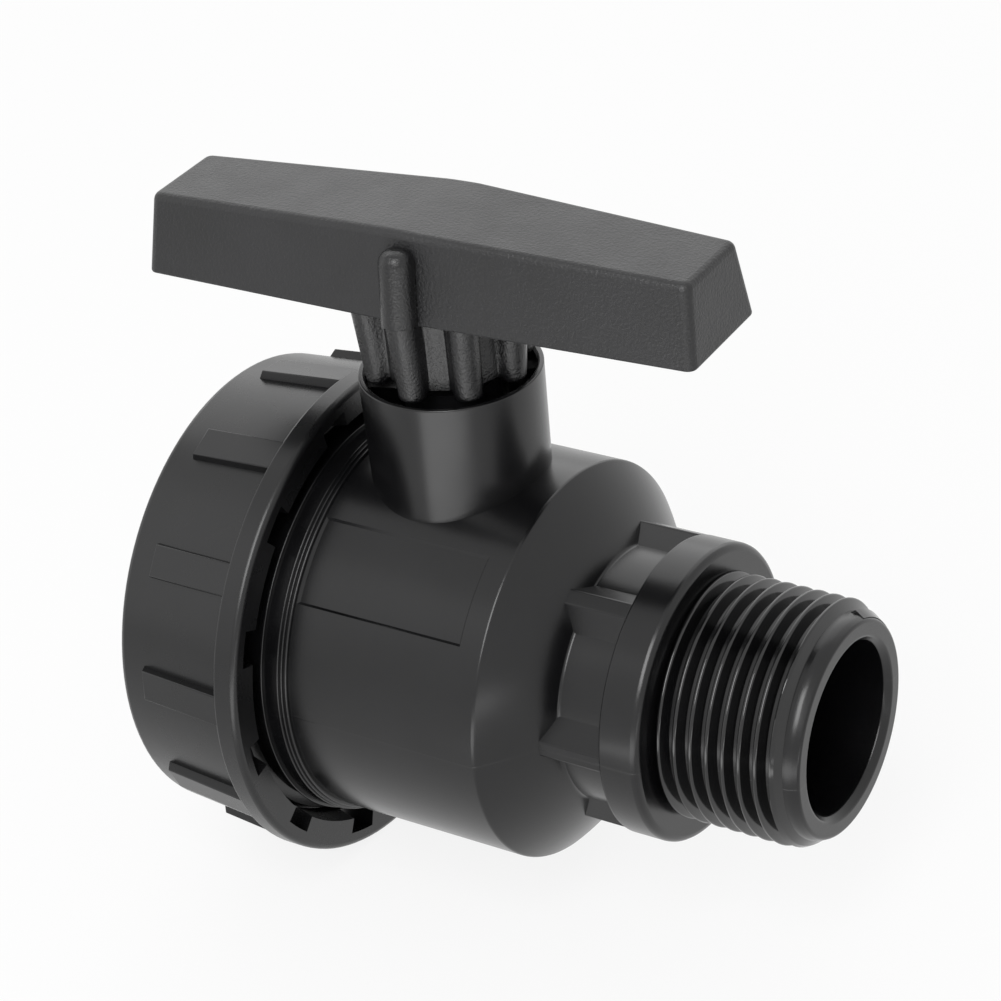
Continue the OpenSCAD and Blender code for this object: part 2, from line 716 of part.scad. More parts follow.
module union_ring() {
    color("#151515") cord_ring(face_x + union_groove / 2, union_ring_r, union_cord);
}

module end_connector() {
    color(plastic) difference() {
        union() {
            flow_disc(face_x - 0.1 - conn_flange, face_x - 0.1, conn_flange_r);
            flow_disc(conn_x, face_x - 0.5, conn_r);
            flow_disc(face_x - 1, conn_end, conn_nose_r);
        }
        about_flow() polygon(concat(
            [[0, conn_x - 1], [pipe_major_r + 0.4, conn_x - 1], [pipe_major_r + 0.4, conn_x]],
            thread_line(inlet_first, inlet_crests, pipe_pitch, pipe_major_r, pipe_root_r,
                        pipe_flank, pipe_crest),
            [[pipe_major_r, conn_bore_x], [0, conn_bore_x]]));
        flow_disc(conn_bore_x - 1, conn_end + 1, seat_bore_r);
    }
}

// Wedge rib of the nut, with a sloped end
module nut_rib() {
    x = nut_x + nut_rib_start;
    proud = nut_rim_r - 0.1 - nut_mid_r;
    intersection() {
        wedge(x, rim_x + 0.5 - x, nut_bore_r + 0.5, nut_mid_r, nut_rim_r + 0.1, nut_rib_root, nut_rib_top);
        about_flow() polygon([[0, x], [nut_end_r, x], [nut_end_r + proud, x + 0.9],
                              [nut_rim_r - 0.1, rim_x], [nut_rim_r - 0.1, rim_x + 0.5], [0, rim_x + 0.5]]);
    }
}

module union_nut() {
    spacing = 360 / nut_ribs;
    color(plastic) {
        difference() {
            union() {
                about_flow() polygon([
                    [0, nut_x], [nut_end_r - 0.6, nut_x], [nut_end_r, nut_x + 0.6],
                    [nut_mid_r, rim_x], [nut_rim_r, rim_x], [nut_rim_r, nut_mouth_x - 0.8],
                    [nut_rim_r - 0.25, nut_mouth_x - 0.25], [nut_rim_r - 0.8, nut_mouth_x],
                    [0, nut_mouth_x]]);
                for (i = [0 : nut_ribs - 1]) rotate([180 - nut_rib_phase + i * spacing, 0, 0]) nut_rib();
            }
            flow_disc(nut_x - 1, nut_mouth_x, conn_r + 0.4);
            flow_disc(nut_x + nut_wall, nut_mouth_x + 1, nut_bore_r);
            about_flow() polygon([[0, nut_mouth_x - 1.5], [nut_bore_r, nut_mouth_x - 1.5],
                                  [nut_mouth_r, nut_mouth_x + eps], [0, nut_mouth_x + eps]]);
            for (i = [0 : nut_ribs - 1]) rotate([180 - nut_rib_phase + (i + 0.5) * spacing, 0, 0])
                translate([nut_mouth_x - notch_len, nut_bore_r - 1, -notch_w / 2])
                    cube([notch_len + 1, notch_r - nut_bore_r + 1, notch_w]);
        }
        ridge(nut_ridge_x, nut_turns, nut_bore_r + 0.5, nut_ridge_tip, ridge_root_w, ridge_tip_w);
    }
}

valve_body();
handle();
stem();
stem_washer();
stem_ring_lower();
stem_ring_upper();
ball();
outlet_seat();
inlet_seat();
outlet_seat_ring();
inlet_seat_ring();
seat_carrier();
carrier_ring();
union_ring();
end_connector();
union_nut();
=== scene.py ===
# %% [markdown]
# # A moulded plastic ball valve
#
# The valve stands on a pale floor: a barrel with a stem tower, a lever on top, an outer pipe
# thread on the right and a big ribbed nut on the left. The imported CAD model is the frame. It
# fixes every size and every place, so the pieces made here are its visible skins.

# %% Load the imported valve
import math

import bmesh
import bpy
from mathutils import Matrix, Vector


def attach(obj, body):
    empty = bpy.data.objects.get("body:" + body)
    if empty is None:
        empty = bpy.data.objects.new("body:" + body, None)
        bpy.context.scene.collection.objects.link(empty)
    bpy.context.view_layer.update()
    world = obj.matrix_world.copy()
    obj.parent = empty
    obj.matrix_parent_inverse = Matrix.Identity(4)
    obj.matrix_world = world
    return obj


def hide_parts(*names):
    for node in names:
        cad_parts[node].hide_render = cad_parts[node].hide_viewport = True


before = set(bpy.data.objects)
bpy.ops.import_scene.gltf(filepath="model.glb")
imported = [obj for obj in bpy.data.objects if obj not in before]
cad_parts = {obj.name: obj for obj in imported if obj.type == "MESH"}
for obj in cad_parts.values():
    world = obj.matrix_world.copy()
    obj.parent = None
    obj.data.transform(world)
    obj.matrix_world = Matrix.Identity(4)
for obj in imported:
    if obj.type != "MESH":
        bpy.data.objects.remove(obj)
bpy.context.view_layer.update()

# %% [markdown]
# ## From a bmesh to a finished piece
#
# Every piece is shaped in millimetres, because that is how the sizes of the valve are read. One
# helper ends them all: it merges doubles, turns the faces outwards, scales to metres and gives
# smooth shading with sharp creases, then says which body carries the piece. An edge is sharp
# where its angle is large, or where a broad face meets a narrow one, so that a flat stays flat
# beside its rounded edge. The lever is shaped along the flow, and the helper gives it the small
# turn past straight at which it rests.

# %% The helper that finishes a piece
LEVER_LEAD = math.radians(1.8)


def is_crease(edge, limit):
    if len(edge.link_faces) != 2:
        return True
    turn = edge.calc_face_angle()
    small, large = sorted(f.calc_area() for f in edge.link_faces)
    return turn > math.radians(limit) or (turn > 0.05 and large > 3.5 * small)


def finish_piece(bm, name, body, replaces=None, crease=34):
    if body == "lever":
        bmesh.ops.rotate(bm, verts=bm.verts, matrix=Matrix.Rotation(LEVER_LEAD, 3, "Z"))
    bmesh.ops.remove_doubles(bm, verts=bm.verts, dist=0.0005)
    bmesh.ops.recalc_face_normals(bm, faces=bm.faces)
    for face in bm.faces:
        face.smooth = True
    for edge in bm.edges:
        edge.smooth = not is_crease(edge, crease)
    bmesh.ops.scale(bm, vec=(0.001, 0.001, 0.001), verts=bm.verts)
    mesh = bpy.data.meshes.new(name)
    bm.to_mesh(mesh)
    open_edges = sum(1 for e in bm.edges if len(e.link_faces) != 2)
    bm.free()
    piece = bpy.data.objects.new(name, mesh)
    bpy.context.scene.collection.objects.link(piece)
    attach(piece, body)
    if replaces:
        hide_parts(replaces)
    print(f"{name}: {len(mesh.polygons)} faces, {open_edges} open edges")
    return piece

# %% [markdown]
# ## Turned shapes
#
# Most of the valve is round about its flow axis. A turned piece starts as one flat face, the
# section through its wall. Its corners are rounded with a vertex bevel while it is still flat,
# which is easier than rounding hundreds of edges later. The outline is then spun full circle.

# %% A lathe for wall sections
def section_face(bm, outline, place):
    """A flat face from (a, b, rounding) corners; place turns a pair into a point."""
    corners = [bm.verts.new(place(c[0], c[1])) for c in outline]
    bm.faces.new(corners)
    for size in sorted({c[2] for c in outline if len(c) > 2}):
        chosen = [v for v, c in zip(corners, outline) if len(c) > 2 and c[2] == size]
        bmesh.ops.bevel(bm, geom=chosen, offset=size, segments=10 if size > 2 else 4, profile=0.5,
                        affect="VERTICES", material=-1, clamp_overlap=True)


def turned(outline, axis, steps, start=0.0):
    """Spins a wall section about the flow axis ("X") or the stem axis ("Z")."""
    along, out = (Vector((1, 0, 0)), Vector((0, 1, 0))) if axis == "X" else (
        Vector((0, 0, 1)), Vector((1, 0, 0)))
    bm = bmesh.new()
    section_face(bm, outline, lambda a, r: along * a + out * r)
    bmesh.ops.rotate(bm, verts=bm.verts, cent=(0, 0, 0),
                     matrix=Matrix.Rotation(math.radians(start), 3, axis))
    bmesh.ops.delete(bm, geom=bm.faces[:], context="FACES_ONLY")
    bmesh.ops.spin(bm, geom=bm.verts[:] + bm.edges[:], cent=(0, 0, 0), axis=along,
                   angle=math.tau, steps=steps, use_merge=True)
    return bm

# %% [markdown]
# ## The barrel
#
# One wall section holds the sealing face on the left with its ring groove, the collar beside
# the union thread, the barrel, the rounded shoulder, the neck, the flange and the core of the
# pipe thread. The line then returns through the bore, the seat pocket and the ball chamber. The
# spin starts at the lower edge of the label pad, so that the pad falls on whole faces.

# %% Turn the barrel
PAD_START, PAD_STEPS, BARREL_STEPS = 120.9, 12, 168
shell = turned([
    (-30.5, 22.9, 0.2), (-30.5, 24.4), (-28.2, 24.4), (-28.2, 26.7), (-30.5, 26.7),
    (-30.5, 28.2, 0.4), (-16.6, 28.2), (-16.6, 28.85, 0.12), (-16.2, 28.85, 0.12),
    (-16.2, 28.45), (-13.85, 28.45, 0.15),
    (-13.85, 28.25), (-13.35, 28.25, 0.15), (-13.35, 27.95),
    (-12.85, 27.95, 0.2), (-12.85, 27.5), (-12.7, 27.5), (-6.0, 27.5),
    (0.0, 27.5), (6.0, 27.5), (11.7, 27.5), (12.8, 27.5), (16.1, 27.5, 0.25),
    (20.26, 23.04, 5.6), (23.0, 17.6, 0.3), (30.5, 17.6, 0.3), (30.5, 20.3, 0.3),
    (36.2, 20.3, 1.0), (36.2, 15.145), (55.0, 15.145, 0.5), (56.275, 14.5, 0.3),
    (56.275, 12.4, 0.2), (55.475, 11.6, 0.2), (16.25, 11.6), (16.25, 13.85), (18.05, 13.85),
    (18.05, 15.65), (16.25, 15.65), (16.25, 17.5), (9.25, 17.5), (9.25, 19.4), (-15.5, 19.4),
    (-15.5, 22.1), (-18.9, 22.1), (-18.9, 22.9)], "X", BARREL_STEPS, PAD_START)
print("barrel section spun into", len(shell.faces), "faces")

# %% [markdown]
# The label pad is a bare, shallow recess on the side of the barrel. Its faces are found by
# their place, then inset and sunk in one step, which leaves a crisp sloped border round it.

# %% Sink the label pad
def flow_angle(p):
    return math.degrees(math.atan2(p.z, p.y)) % 360


pad = [f for f in shell.faces
       if abs(f.calc_center_median().x) < 12.7 and f.calc_center_median().yz.length > 27
       and PAD_START < flow_angle(f.calc_center_median()) < PAD_START + 360 * PAD_STEPS / BARREL_STEPS]
bmesh.ops.recalc_face_normals(shell, faces=shell.faces)
bmesh.ops.inset_region(shell, faces=pad, thickness=0.3, depth=-0.35, use_even_offset=True,
                       use_boundary=True)
print("pad faces", len(pad))

# %% [markdown]
# The stem passes through the top of the barrel. A Boolean with a short post cuts its hole,
# which the tower covers. The cutter is made for this step only and removed again.

# %% Cut the hole for the stem
def cut_with_post(bm, radius, z0, z1):
    cutter = bmesh.new()
    bmesh.ops.create_cone(cutter, cap_ends=True, segments=96, radius1=radius, radius2=radius,
                          depth=z1 - z0, matrix=Matrix.Translation((0, 0, (z0 + z1) / 2)))
    objects = []
    for source in (bm, cutter):
        mesh = bpy.data.meshes.new("cut")
        source.to_mesh(mesh)
        source.free()
        objects.append(bpy.data.objects.new("cut", mesh))
        bpy.context.scene.collection.objects.link(objects[-1])
    cut = objects[0].modifiers.new("cut", "BOOLEAN")
    cut.operation, cut.object, cut.solver = "DIFFERENCE", objects[1], "EXACT"
    shaped = objects[0].evaluated_get(bpy.context.evaluated_depsgraph_get())
    result = bmesh.new()
    result.from_mesh(shaped.to_mesh())
    shaped.to_mesh_clear()
    for o in objects:
        mesh = o.data
        bpy.data.objects.remove(o)
        bpy.data.meshes.remove(mesh)
    return result


shell = cut_with_post(shell, 9.5, 14.0, 34.0)
barrel = finish_piece(shell, "valve_barrel", "body", "valve_body", crease=26)

# %% [markdown]
# ## The stem tower
#
# The tower is a tube with a thin sharp rim and an open cup in its top, turned about the stem
# axis. Inside the cup stand two stop blocks. A block is a flat rectangle spun through its own
# width, which gives it its curved inner and outer faces.

# %% Turn the tower and its stops
tower = turned([
    (23.0, 12.0), (41.85, 12.25, 0.2), (41.85, 11.6, 0.12), (41.35, 11.2, 0.15),
    (35.0, 11.2, 0.4), (35.0, 6.55, 0.2), (23.0, 6.55)], "Z", 128)
for side in (-1, 1):
    block = bmesh.new()
    bmesh.ops.create_grid(block, x_segments=1, y_segments=1, size=0.5)
    bmesh.ops.scale(block, vec=(3.55, 3.15, 1), verts=block.verts)
    bmesh.ops.rotate(block, verts=block.verts, matrix=Matrix.Rotation(math.pi / 2, 3, "X"))
    bmesh.ops.translate(block, verts=block.verts, vec=(9.675, 0, 36.275))
    bmesh.ops.rotate(block, verts=block.verts,
                     matrix=Matrix.Rotation(math.radians(125.9 + side * 63.4 - 6), 3, "Z"))
    bmesh.ops.spin(block, geom=block.verts[:] + block.edges[:] + block.faces[:],
                   axis=(0, 0, 1), angle=math.radians(12), steps=6)
    bmesh.ops.recalc_face_normals(block, faces=block.faces)
    part = bpy.data.meshes.new("block")
    block.to_mesh(part)
    block.free()
    tower.from_mesh(part)
    bpy.data.meshes.remove(part)
stem_tower = finish_piece(tower, "stem_tower", "body")

# %% [markdown]
# ## The neck ribs
#
# Six wedge ribs brace the neck between the shoulder and the flange. One cube is narrowed
# towards its crown, bevelled, and then copied round the flow axis by a spin that duplicates.

# %% Shape one wedge rib and copy it round
def wedge_bar(x0, x1, r0, r1, foot_w, crown_w, soft):
    """A bar along the flow on the +Y side, narrower at its crown than at its foot."""
    bm = bmesh.new()
    bmesh.ops.create_cube(bm, size=1)
    for v in bm.verts:
        outer = v.co.y > 0
        v.co = ((x1 if v.co.x > 0 else x0), r1 if outer else r0,
                math.copysign((crown_w if outer else foot_w) / 2, v.co.z))
    crown = [e for e in bm.edges if all(v.co.y > r1 - 0.01 for v in e.verts)]
    bmesh.ops.bevel(bm, geom=crown, offset=soft, segments=3, profile=0.5, affect="EDGES", material=-1)
    return bm


def copy_round(bm, count, first=0.0):
    bmesh.ops.rotate(bm, verts=bm.verts, matrix=Matrix.Rotation(math.radians(first), 3, "X"))
    bmesh.ops.spin(bm, geom=bm.verts[:] + bm.edges[:] + bm.faces[:], axis=(1, 0, 0),
                   angle=math.tau * (count - 1) / count, steps=count - 1, use_duplicate=True)
    return bm


neck = copy_round(wedge_bar(17.2, 30.7, 16.0, 20.25, 9.4, 2.3, 0.25), 6)
neck_ribs = finish_piece(neck, "neck_ribs", "body")

# %% [markdown]
# ## Threads
#
# A thread is a small closed section that climbs as it turns. The spin operator does this when
# it is given dvec, a step along the axis. All threads on the valve are right-handed, so the
# step points the same way as the axis of the turn. The foot of the ridge lies just inside the
# wall, and the ends are closed with faces.

# %% A ridge that climbs as it turns
def screw_ridge(section, first_x, first_angle, pitch, turns, steps=96):
    """Section corners are (offset along the flow, radius); it starts at first_x and climbs."""
    bm = bmesh.new()
    loop = [bm.verts.new((first_x + a, r, 0)) for a, r in section]
    start = bm.faces.new(loop)
    bmesh.ops.rotate(bm, verts=bm.verts, matrix=Matrix.Rotation(math.radians(first_angle), 3, "X"))
    count = round(steps * turns)
    bmesh.ops.spin(bm, geom=[start] + loop + list(start.edges), axis=(1, 0, 0),
                   angle=math.tau * count / steps, steps=count, dvec=(pitch / steps, 0, 0))
    return bm


def pull_under(bm, limit):
    """Keeps a ridge under a radius that depends on the place along the flow."""
    for v in bm.verts:
        out, top = v.co.yz.length, limit(v.co.x)
        if out > top:
            v.co.yz *= top / out


PIPE_PITCH = 2.309
CREST = [(0.317 * math.sin(t), 16.62 - 0.317 * (1 - math.cos(t)))
         for t in (math.radians(d) for d in (-62.5, -42, -21, 0, 21, 42, 62.5))]
male = screw_ridge([(-1.02, 14.9), (-0.962, 15.145), *CREST, (0.962, 15.145), (1.02, 14.9)],
                   36.2, 30.0, PIPE_PITCH, 8.1)
pull_under(male, lambda x: min(16.62, 16.45 - (x - 53.2) * 0.62))
outlet_thread = finish_piece(male, "outlet_thread", "body", crease=24)

UNION_PITCH = 4.0
union_male = screw_ridge([(-0.9, 27.9), (-0.88, 28.2), (-0.48, 29.5), (-0.38, 29.6), (0.38, 29.6),
                          (0.48, 29.5), (0.88, 28.2), (0.9, 27.9)], -28.775, 144.0,
                         UNION_PITCH, 2.6)
body_union_thread = finish_piece(union_male, "body_union_thread", "body", crease=50)

# %% [markdown]
# ## The union nut
#
# The nut is a ring with a slightly conical wall, a thicker rim and a wide mouth. Twelve square
# notches are let into the mouth, and twelve wedge ribs give a grip outside. The ring is spun
# with faces of three degrees, so that a notch is three faces wide.

# %% Turn the ring of the nut
NOTCH_FIRST, NOTCH_FLOOR = 5.0, -18.8
nut = turned([
    (-37.3, 21.4, 0.3), (-37.3, 32.35, 0.9), (-19.7, 33.7, 0.2), (-19.7, 35.0, 0.4),
    (-16.2, 35.0, 0.8), (-16.2, 33.0), (-16.2, 30.8), (NOTCH_FLOOR, 30.1), (-34.3, 30.1, 0.5),
    (-34.3, 21.4, 0.3)], "X", 120, NOTCH_FIRST)
print("nut ring", len(nut.faces), "faces")

# %% [markdown]
# A notch is made with plain edit steps: the faces over it are deleted, the outer arc of the
# opening is extruded to the floor of the notch, and bridges and fills close its walls.

# %% Let the notches into the mouth
for k in range(12):
    middle = NOTCH_FIRST + 4.5 + 30 * k
    over = [f for f in nut.faces if f.calc_center_median().x > NOTCH_FLOOR
            and f.calc_center_median().yz.length < 32.9
            and abs((flow_angle(f.calc_center_median()) - middle + 180) % 360 - 180) < 4.4]
    bmesh.ops.delete(nut, geom=over, context="FACES")
    rim = [e for e in nut.edges if len(e.link_faces) == 1]
    outer = [e for e in rim if all(abs(v.co.yz.length - 33) < 0.02 for v in e.verts)]
    inner = [e for e in rim if all(abs(v.co.x - NOTCH_FLOOR) < 0.001 for v in e.verts)]
    grown = bmesh.ops.extrude_edge_only(nut, edges=outer)["geom"]
    new_verts = [g for g in grown if isinstance(g, bmesh.types.BMVert)]
    bmesh.ops.translate(nut, verts=new_verts, vec=(NOTCH_FLOOR + 16.2, 0, 0))
    floor_edges = [g for g in grown if isinstance(g, bmesh.types.BMEdge) and len(g.link_faces) == 1
                   and all(v in new_verts for v in g.verts)]
    bmesh.ops.bridge_loops(nut, edges=floor_edges + inner)
    gaps = [e for e in nut.edges if len(e.link_faces) == 1]
    bmesh.ops.holes_fill(nut, edges=gaps, sides=6)
print("open edges after the notches", sum(1 for e in nut.edges if len(e.link_faces) != 2))
nut_ring = finish_piece(nut, "nut_ring", "nut", "union_nut", crease=30)

# %% Shape the grip ribs and the inner thread of the nut
rib = wedge_bar(-33.3, -19.4, 31.0, 34.9, 5.3, 4.4, 0.15)
for v in rib.verts:
    if v.co.y > 33:
        share = (v.co.x + 33.3) / 13.9
        v.co.y += (share - 1) * 1.1
        if share < 0.1:
            v.co.x += 0.9
ribs = copy_round(rib, 12, 24.5)
nut_ribs = finish_piece(ribs, "nut_ribs", "nut")

union_female = screw_ridge([(-0.9, 30.4), (-0.88, 30.1), (-0.48, 28.8), (-0.38, 28.7), (0.38, 28.7),
                            (0.48, 28.8), (0.88, 30.1), (0.9, 30.4)], -29.575, 252.0,
                            UNION_PITCH, 2.3)
nut_thread = finish_piece(union_female, "nut_thread", "nut", crease=50)

# %% [markdown]
# ## The end connector
#
# The sleeve that the nut clamps: a flange that seals on the body, a short pipe that stands out
# of the nut, and a female pipe thread inside.

# %% Turn the end connector
sleeve = turned([
    (-42.7, 17.2, 0.2), (-42.7, 21.0, 0.8), (-34.2, 21.0, 0.2), (-34.2, 28.1, 0.4),
    (-30.6, 28.1, 0.4), (-30.6, 19.6), (-25.6, 19.6, 0.4), (-25.6, 12.1, 0.3),
    (-27.2, 12.1, 0.3), (-27.2, 16.624), (-42.1, 16.624)], "X", 144)
connector_sleeve = finish_piece(sleeve, "connector_sleeve", "connector",
                                "end_connector", crease=26)
female = screw_ridge([(-0.97, 17.0), (-0.86, 16.57), (-0.2, 15.24), (-0.11, 15.16), (0.11, 15.16),
                      (0.2, 15.24), (0.86, 16.57), (0.97, 17.0)], -41.3, 150.0, PIPE_PITCH, 5.3)
inlet_thread = finish_piece(female, "inlet_thread", "connector", crease=50)

# %% [markdown]
# ## The lever
#
# The bar is a long box that is widest and highest in the middle. A cube is cut across, its
# corners are moved to the measured places, and a bevel softens the ridge across the middle.

# %% Shape the bar
bar = bmesh.new()
bmesh.ops.create_cube(bar, size=1)
bmesh.ops.bisect_plane(bar, geom=bar.verts[:] + bar.edges[:] + bar.faces[:], plane_co=(0, 0, 0),
                       plane_no=(1, 0, 0))
HALF_WIDTH = {(True, True): 8.35, (True, False): 9.7, (False, True): 6.65, (False, False): 8.65}
for v in bar.verts:
    middle, top = abs(v.co.x) < 0.1, v.co.z > 0
    half_len = 0 if middle else (39.6 if top else 40.6)
    v.co = (math.copysign(half_len, v.co.x), math.copysign(HALF_WIDTH[middle, top], v.co.y),
            (65.0 if middle else 63.5) if top else 52.7)
ridge = [e for e in bar.edges if all(abs(v.co.x) < 0.1 for v in e.verts)]
bmesh.ops.bevel(bar, geom=ridge, offset=2.5, segments=4, profile=0.5, affect="EDGES", material=-1)
print("bar", len(bar.faces), "faces, top at", round(max(v.co.z for v in bar.verts), 2))

# %% [markdown]
# The bar is hollow below. Its underside is inset by the wall and pushed up towards the roof
# while its corners are still square. The faces it leaves behind go with their edges, so that no
# loose edge stays. Then the upright corners, the edge round the top and the lip are rounded, and
# thin cross walls stiffen the bar.

# %% Hollow the bar
bmesh.ops.recalc_face_normals(bar, faces=bar.faces)
under = [f for f in bar.faces if f.normal.z < -0.99]
bmesh.ops.inset_region(bar, faces=under, thickness=2.2, use_even_offset=True, use_boundary=True)
pushed = bmesh.ops.extrude_face_region(bar, geom=under)["geom"]
roof = [g for g in pushed if isinstance(g, bmesh.types.BMVert)]
bmesh.ops.delete(bar, geom=[f for f in under if f.is_valid], context="FACES")
bmesh.ops.translate(bar, verts=roof, vec=(0, 0, 8.6))
bmesh.ops.scale(bar, verts=roof, vec=(0.98, 0.86, 1))

# %% Round the upright corners, the top and the lip
uprights = [e for e in bar.edges if all(abs(v.co.x) > 39 for v in e.verts)
            and abs(e.verts[0].co.z - e.verts[1].co.z) > 5]
bmesh.ops.bevel(bar, geom=uprights, offset=1.2, segments=5, profile=0.5, affect="EDGES", material=-1)
top_edges = [e for e in bar.edges if e.is_manifold and e.calc_face_angle() > 0.8
             and all(v.co.z > 62 for v in e.verts)]
bmesh.ops.bevel(bar, geom=top_edges, offset=0.9, segments=4, profile=0.5, affect="EDGES", material=-1)
lip = [e for e in bar.edges if e.is_manifold and e.calc_face_angle() > 1.2
       and all(abs(v.co.z - 52.7) < 0.01 for v in e.verts)]
bmesh.ops.bevel(bar, geom=lip, offset=0.3, segments=2, profile=0.5, affect="EDGES", material=-1)

# %% Add the cross walls
for x in (-31.5, -22.5, -13.5, 13.5, 22.5, 31.5):
    bmesh.ops.create_cube(bar, size=1, matrix=Matrix.Translation((x, 0, 58.4))
                          @ Matrix.Diagonal((1.6, 12.6, 7.4, 1)))
lever_bar = finish_piece(bar, "lever_bar", "lever", "handle", crease=30)

# %% [markdown]
# The hub under the bar has eight round flutes, which widen and lean out towards the bar. It
# starts as a circle of many points, each moved out to the flute or the core, whichever stands
# further out at its angle. Extruding the ring upwards repeats that outline, and a few rounds of
# vertex smoothing give the soft hollows. Between the flutes' feet the core ends a little higher.

# %% Grow the fluted hub
FLUTES, CORE_R, HUB_FOOT, BAR_FOOT = 8, 8.8, 42.1, 52.7
HUB_RINGS = [(42.1, 0.93), (42.16, 0.97), (42.3, 0.99), (42.6, 1.0), (43.1, 1.0), (43.7, 1.0),
             (44.8, 1.0), (46.4, 1.0), (48.2, 1.0), (50.0, 1.0), (51.6, 1.0), (53.1, 1.0)]


def hub_outline(angle, z, fullness):
    """The hub's radius at an angle, and how much of it is flute, from 0 to 1."""
    rise = (z - HUB_FOOT) / (BAR_FOOT - HUB_FOOT)
    axis, flute = 9.25 + 0.85 * rise, (2.0 + 0.15 * rise) * fullness
    spacing = math.tau / FLUTES
    off = (angle + spacing / 2) % spacing - spacing / 2
    inside = flute ** 2 - (axis * math.sin(off)) ** 2
    if inside <= 0:
        return CORE_R, 0.0
    return max(CORE_R, axis * math.cos(off) + math.sqrt(inside)), math.sqrt(inside) / flute


hub = bmesh.new()
level = bmesh.ops.create_circle(hub, cap_ends=False, segments=384, radius=1.0)["verts"]
edges = hub.edges[:]
for index, (z, fullness) in enumerate(HUB_RINGS):
    if index:
        geom = bmesh.ops.extrude_edge_only(hub, edges=edges)["geom"]
        level = [g for g in geom if isinstance(g, bmesh.types.BMVert)]
        edges = [g for g in geom if isinstance(g, bmesh.types.BMEdge)
                 and all(v in level for v in g.verts)]
    for v in level:
        angle = math.atan2(v.co.y, v.co.x)
        out, flute = hub_outline(angle, z, fullness)
        lift = 0.8 * (1 - min(1.0, 2.2 * flute)) * max(0.0, 1 - (z - HUB_FOOT) / 2.4)
        v.co = (out * math.cos(angle), out * math.sin(angle), z + lift)
for _ in range(3):
    bmesh.ops.smooth_vert(hub, verts=[v for v in hub.verts if 42.35 < v.co.z < 53.0], factor=0.5,
                          use_axis_x=True, use_axis_y=True, use_axis_z=True)
print("hub", len(hub.faces), "faces")

# %% [markdown]
# Below, the ring is drawn in to the square socket that the stem drives. Above, it is drawn in
# to the core, which runs on up to the roof of the hollow bar.

# %% Close the hub round its drive socket
def drawn_on(bm, ring, shape):
    """Extrudes a ring of edges, gives each new point its place, and returns the new ring."""
    geom = bmesh.ops.extrude_edge_only(bm, edges=ring)["geom"]
    verts = [g for g in geom if isinstance(g, bmesh.types.BMVert)]
    for v in verts:
        v.co = shape(v.co)
    return [g for g in geom if isinstance(g, bmesh.types.BMEdge) and all(v in verts for v in g.verts)]


def at_radius(co, radius, z):
    return Vector((*(co.xy.normalized() * radius), z))


lower, upper = ([e for e in hub.edges if len(e.link_faces) == 1 and (e.verts[0].co.z > 50) == top]
                for top in (False, True))
lower = drawn_on(hub, lower, lambda co: at_radius(co, 8.0, co.z + 0.05))
lower = drawn_on(hub, lower, lambda co: at_radius(co, 7.5, 43.3))
lower = drawn_on(hub, lower, lambda co: Vector((*(co.xy * 4.42 / max(abs(co.x), abs(co.y))), 43.3)))
lower = drawn_on(hub, lower, lambda co: co + Vector((0, 0, 13.9)))
upper = drawn_on(hub, upper, lambda co: at_radius(co, 8.6, co.z))
upper = drawn_on(hub, upper, lambda co: co + Vector((0, 0, 8.4)))
for ring in (lower, upper):
    bmesh.ops.edgeloop_fill(hub, edges=ring)
lever_hub = finish_piece(hub, "lever_hub", "lever", crease=40)

# %% [markdown]
# The front and back flutes run on up the sides of the bar as bold round ribs with rounded heads.
# Each is a post whose upper edge is rounded by a bevel, leaned to follow the bar's side.

# %% Draw the two grip ribs
grips = bmesh.new()
for side in (-1, 1):
    made = bmesh.ops.create_cone(grips, cap_ends=True, segments=48, radius1=2.35, radius2=2.35,
                                 depth=10.0)["verts"]
    head = [e for e in grips.edges if all(v in made and v.co.z > 4.9 for v in e.verts)]
    rounded = bmesh.ops.bevel(grips, geom=head, offset=1.75, segments=7, profile=0.5,
                              affect="EDGES", material=-1)["verts"]
    post = [v for v in {*made, *rounded} if v.is_valid]
    bmesh.ops.rotate(grips, verts=post, cent=(0, 0, 0),
                     matrix=Matrix.Rotation(side * math.radians(6.26), 3, "X"))
    bmesh.ops.translate(grips, verts=post, vec=(0, side * 10.02, 58.2))
grip_ribs = finish_piece(grips, "grip_ribs", "lever")

# %% [markdown]
# ## Writing materials as sums
#
# A material is a small machine of nodes. To keep it readable, a socket is wrapped in a class
# whose operators add the Math nodes, so that a mask can be written like a formula.

# %% A class that turns formulas into nodes
class Socket:
    def __init__(self, tree, socket):
        self.tree, self.socket = tree, socket

    def add(self, kind, settings=(), sockets=(), out=0):
        """Adds a node of one kind: its settings first, then values or links for its sockets."""
        node = self.tree.nodes.new(kind)
        for key, value in dict(settings).items():
            if key == "stops":
                ramp = node.color_ramp
                while len(ramp.elements) < len(value):
                    ramp.elements.new(0.5)
                for element, (place, colour) in zip(ramp.elements, value):
                    element.position, element.color = place, (*colour, 1)
            else:
                setattr(node, key, value)
        for key, value in dict(sockets).items():
            if isinstance(value, Socket):
                self.tree.links.new(value.socket, node.inputs[key])
            else:
                node.inputs[key].default_value = value
        return Socket(self.tree, node.outputs[out])

    def math(self, operation, a, b=0.0):
        return self.add("ShaderNodeMath", {"operation": operation}, {0: a, 1: b})

    def __add__(self, other):
        return self.math("ADD", self, other)

    def __mul__(self, other):
        return self.math("MULTIPLY", self, other)

    def __sub__(self, other):
        return self.math("SUBTRACT", self, other)

    def __rsub__(self, other):
        return self.math("SUBTRACT", other, self)

    __radd__, __rmul__ = __add__, __mul__

    def between(self, low, high):
        """A smooth 0 to 1 as the value goes from low to high."""
        return self.add("ShaderNodeMapRange", {"interpolation_type": "SMOOTHSTEP"},
                        {"Value": self, "From Min": low, "From Max": high})


